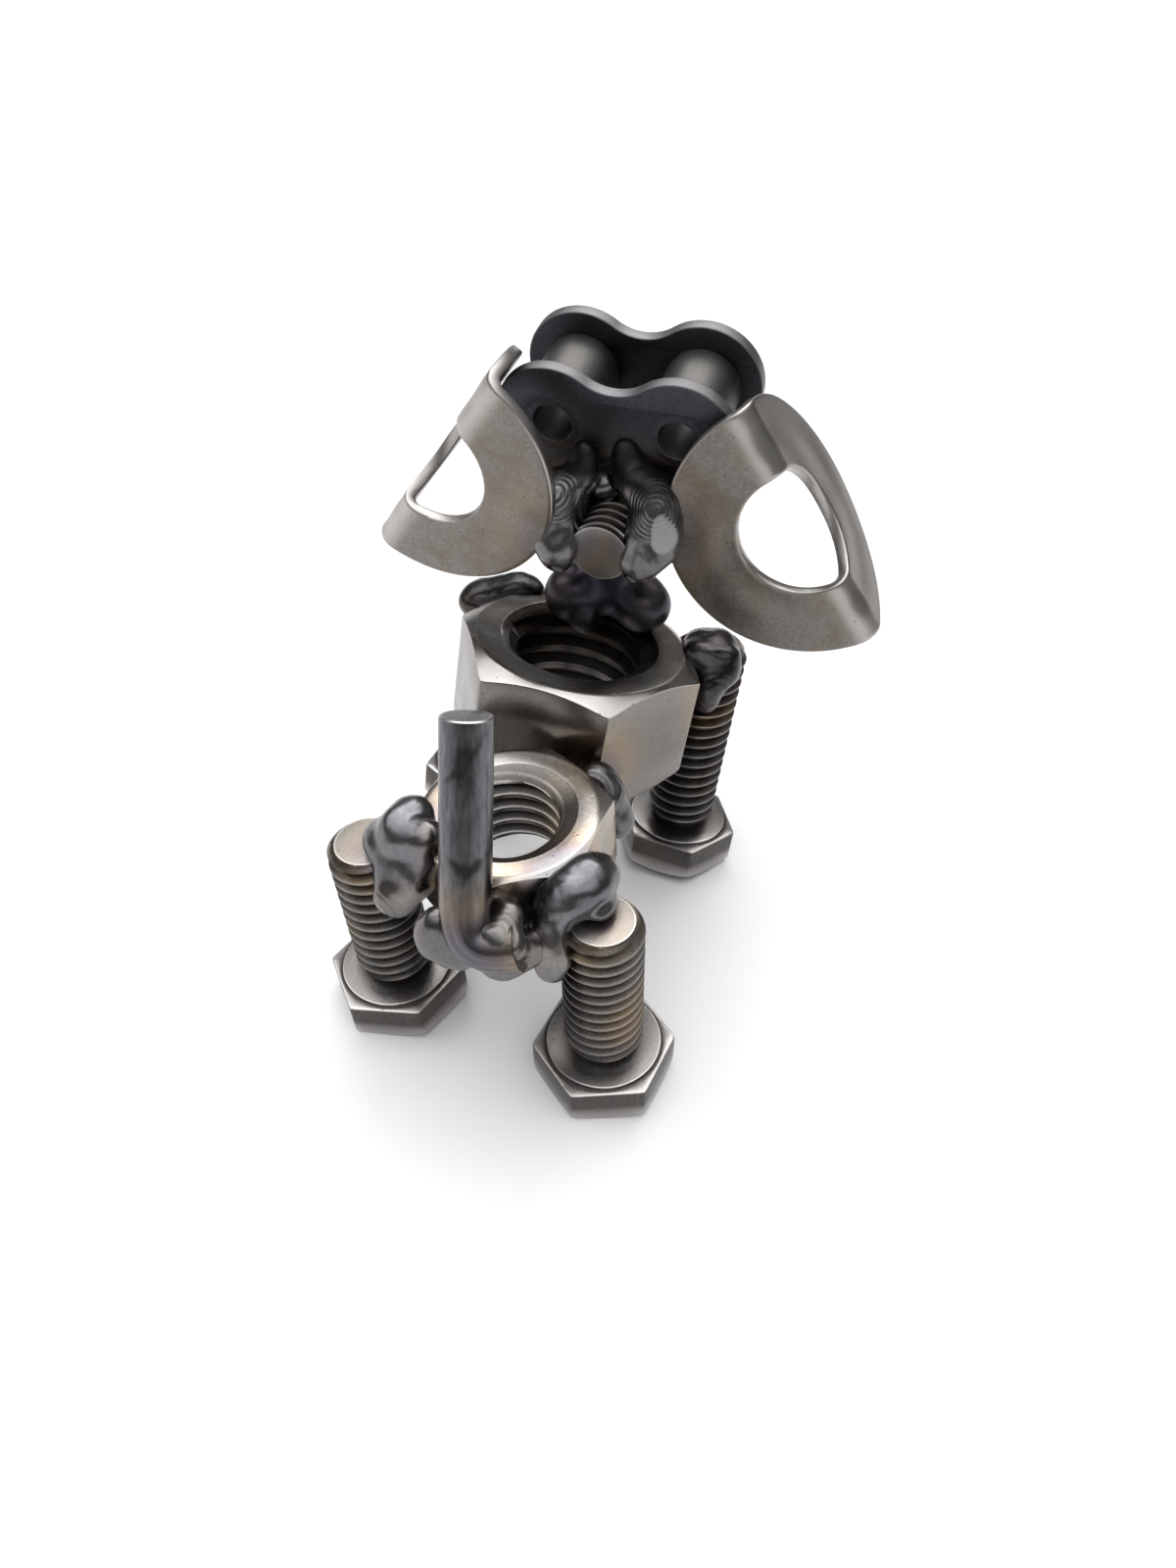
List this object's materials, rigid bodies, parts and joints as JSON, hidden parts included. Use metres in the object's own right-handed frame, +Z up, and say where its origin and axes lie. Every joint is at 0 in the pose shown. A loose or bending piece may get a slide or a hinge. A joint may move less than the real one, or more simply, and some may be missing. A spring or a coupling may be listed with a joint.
{
  "type": "scrap metal dog sculpture",
  "caption": "Small standing dog welded from scrap hardware: bolts for legs and nose, nuts for the body, a roller chain link for the head, bent washers for ears and a rod for the tail.",
  "frame": {"origin": "middle of the bounding box, at the level of the ground under the four feet", "axes": "+Z up; the dog looks along -Y, so its left side is +X and its tail is at +Y"},
  "size_m": [0.054, 0.0618, 0.0618],
  "materials": {
    "leg_bolts": "bare zinc-grey bolt steel, dull heads, dark oil in the thread grooves",
    "nuts": "bright turned steel, worn shiny on the rings, pitted on the flats",
    "nose": "bare bolt steel, darkened by the weld heat",
    "tail": "satin drawn rod with fine lengthwise streaks",
    "chain": "oil-black hardened steel, bright where the edges are worn",
    "ears": "warm satin grey washer steel, fine pits, bright at the bends",
    "welds": "bare weld metal, shiny and rippled, blue-black where it stayed hot"
  },
  "bodies": {
    "root": {"front_left_leg": "leg_bolts", "front_right_leg": "leg_bolts", "rear_left_leg": "leg_bolts", "rear_right_leg": "leg_bolts", "chest_nut": "nuts", "rump_nut": "nuts", "nose_bolt": "nose", "tail_rod": "tail", "rear_link_plate": "chain", "front_link_plate": "chain", "right_bushing": "chain", "left_bushing": "chain", "right_roller": "chain", "left_roller": "chain", "left_ear": "ears", "right_ear": "ears", "rear_left_leg_weld": "welds", "rear_right_leg_weld": "welds", "tail_weld": "welds", "body_weld": "welds", "front_right_leg_weld": "welds", "front_left_leg_weld": "welds", "neck_weld": "welds", "left_ear_weld": "welds", "right_ear_weld": "welds"}
  },
  "joints": []
}
